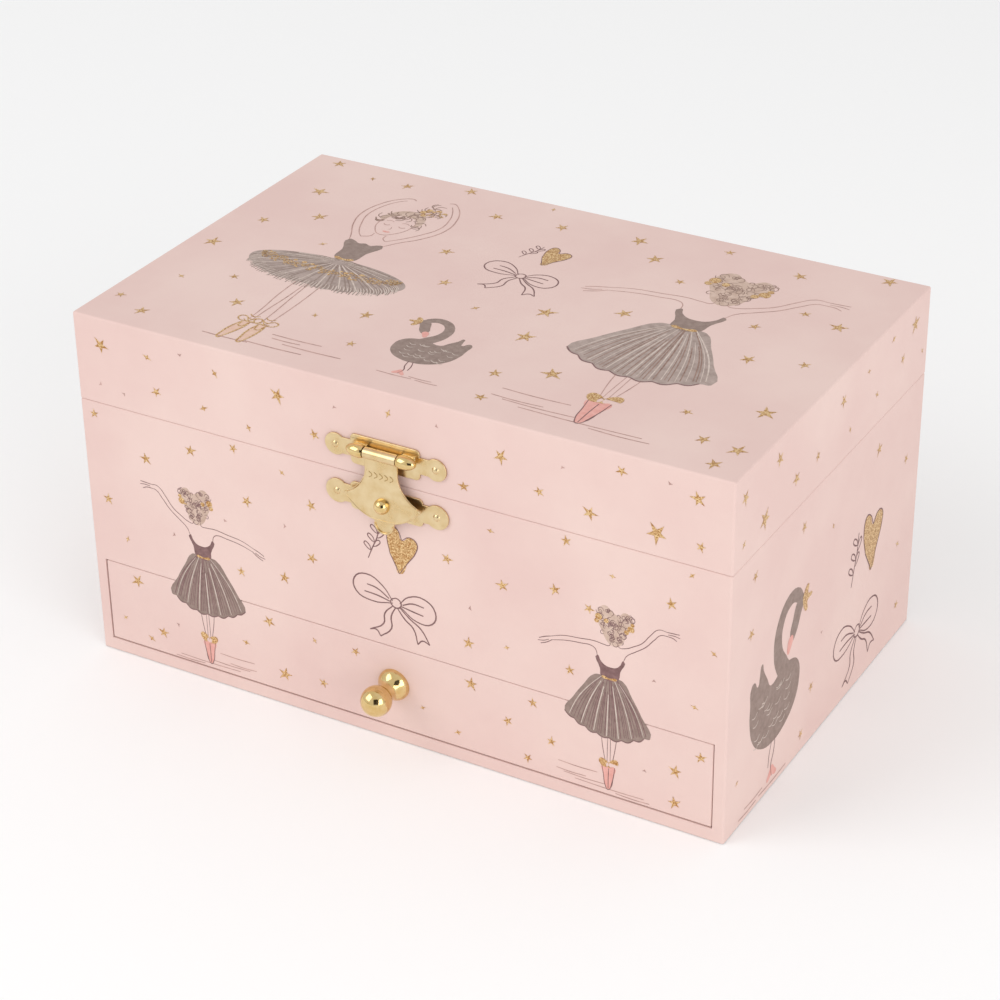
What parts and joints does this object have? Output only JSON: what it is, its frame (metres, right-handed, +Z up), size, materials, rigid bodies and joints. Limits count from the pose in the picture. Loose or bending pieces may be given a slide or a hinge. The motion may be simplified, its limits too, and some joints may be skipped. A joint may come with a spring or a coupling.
{
  "type": "ballerina jewellery box",
  "caption": "Paper-covered jewellery box with a hinged mirrored lid, a knobbed drawer, and a wind-up musical movement that turns a folding dancer.",
  "frame": {"origin": "centre of the case's underside, on the surface that the box stands on", "axes": "+X to the right along the box's width, -Y to the front with the latch and the drawer, +Z up"},
  "size_m": [0.18, 0.1425, 0.0975],
  "materials": {
    "board": "bare grey-brown bookbinder's board, matt",
    "pink_paper": "uncoated printed pink paper with a fine even texture, matt",
    "velvet": "flocked pink velvet",
    "gold_plate": "pale gold-plated stamped steel, satin, brighter on its edges",
    "bright_gold": "polished gold-plated turned knob",
    "brass": "machined brass, lightly brushed",
    "steel": "plain steel, lightly brushed",
    "zinc": "die-cast frame, grey and slightly grainy",
    "mirror": "silvered mirror glass",
    "nylon": "ivory nylon gear, semi-matt",
    "disc_plastic": "moulded pink polystyrene, glossy",
    "doll_plastic": "painted moulded plastic, skin, hair and bodice",
    "tulle": "stiff gathered nylon tulle"
  },
  "bodies": {
    "case": {"case_bottom": "board", "case_left": "board", "case_right": "board", "case_back": "board", "case_front": "board", "deck_board": "board", "case_wrap": "pink_paper", "case_lining": "velvet", "tray_pads": "velvet", "tray_partitions": "velvet", "ring_rolls": "velvet", "movement_cover": "velvet", "cover_bush": "brass", "hinge_case_leaves": "gold_plate", "hinge_pins": "steel", "case_nails": "gold_plate", "latch_case_plate": "gold_plate", "mounting_screws": "steel", "movement_frame": "zinc", "comb": "steel", "movement_screws": "steel", "bridge": "brass", "fly_bracket": "brass", "click_spring": "steel"},
    "lid": {"lid_top": "board", "lid_walls": "board", "lid_wrap": "pink_paper", "lid_lining": "velvet", "mirror": "mirror", "hinge_lid_leaves": "gold_plate", "lid_nails": "gold_plate", "latch_lid_plate": "gold_plate", "latch_pin": "gold_plate", "stop_tab": "velvet"},
    "hasp": {"hasp": "gold_plate", "hasp_rivet": "gold_plate", "hasp_tongue": "gold_plate"},
    "drawer": {"drawer_front": "board", "drawer_wrap": "pink_paper", "drawer_walls": "pink_paper", "drawer_bottom": "board", "drawer_pad": "velvet", "knob": "bright_gold", "knob_screw": "steel"},
    "barrel": {"spring_barrel": "brass", "mainspring": "steel"},
    "key": {"winding_arbor": "steel", "ratchet_wheel": "brass", "winding_key": "gold_plate"},
    "cylinder": {"pin_cylinder": "brass", "cylinder_pinion": "brass", "transfer_gear": "nylon"},
    "turntable": {"turntable_gear": "nylon", "turntable": "disc_plastic", "dancer_spring": "steel"},
    "dancer": {"dancer": "doll_plastic", "tutu": "tulle"},
    "governor": {"governor_wheel": "brass"},
    "fly": {"fly": "steel"},
    "stop_rod": {"stop_rod": "steel"}
  },
  "joints": [
    {"name": "lid_hinge", "type": "hinge", "parent": "case", "child": "lid", "pos_m": [0, 0.0577, 0.07365], "axis": [-1, 0, 0], "range_deg": [0, 100]},
    {"name": "hasp_hinge", "type": "hinge", "parent": "lid", "child": "hasp", "pos_m": [0, -0.0587, 0.0815], "axis": [-1, 0, 0], "range_deg": [0, 135]},
    {"name": "drawer_slide", "type": "slide", "parent": "case", "child": "drawer", "axis": [0, -1, 0], "range_m": [0, 0.08]},
    {"name": "key_winding", "type": "hinge", "parent": "case", "child": "key", "pos_m": [0.005, 0.058, 0.0448], "axis": [0, 1, 0], "continuous": true},
    {"name": "barrel_spin", "type": "hinge", "parent": "case", "child": "barrel", "pos_m": [0.005, 0.045, 0.0448], "axis": [0, 1, 0], "continuous": true},
    {"name": "cylinder_spin", "type": "hinge", "parent": "case", "child": "cylinder", "pos_m": [0.005, 0.03321, 0.045], "axis": [0, 0, 1], "continuous": true},
    {"name": "turntable_spin", "type": "hinge", "parent": "case", "child": "turntable", "pos_m": [0, 0.00363, 0.0628], "axis": [0, 0, 1], "continuous": true},
    {"name": "governor_spin", "type": "hinge", "parent": "case", "child": "governor", "pos_m": [0.021, 0.03321, 0.045], "axis": [0, 0, 1], "continuous": true},
    {"name": "fly_spin", "type": "hinge", "parent": "case", "child": "fly", "pos_m": [0.018, 0.02521, 0.045], "axis": [1, 0, 0], "continuous": true},
    {"name": "dancer_fold", "type": "hinge", "parent": "turntable", "child": "dancer", "pos_m": [0, 0.00363, 0.0682], "axis": [-1, 0, 0], "range_deg": [0, 75], "deforming": ["dancer_spring"]},
    {"name": "stop_lift", "type": "slide", "parent": "case", "child": "stop_rod", "axis": [0, 0, 1], "range_m": [0, 0.004]}
  ],
  "couplings": [
    {"joint": "cylinder_spin", "follows": "barrel_spin", "ratio": 1.3333},
    {"joint": "turntable_spin", "follows": "barrel_spin", "ratio": -0.88889},
    {"joint": "governor_spin", "follows": "barrel_spin", "ratio": -4},
    {"joint": "fly_spin", "follows": "barrel_spin", "ratio": 80},
    {"joint": "dancer_fold", "follows": "lid_hinge", "ratio": 0.75},
    {"joint": "stop_lift", "follows": "lid_hinge", "m_per_rad": 0.0022918}
  ]
}
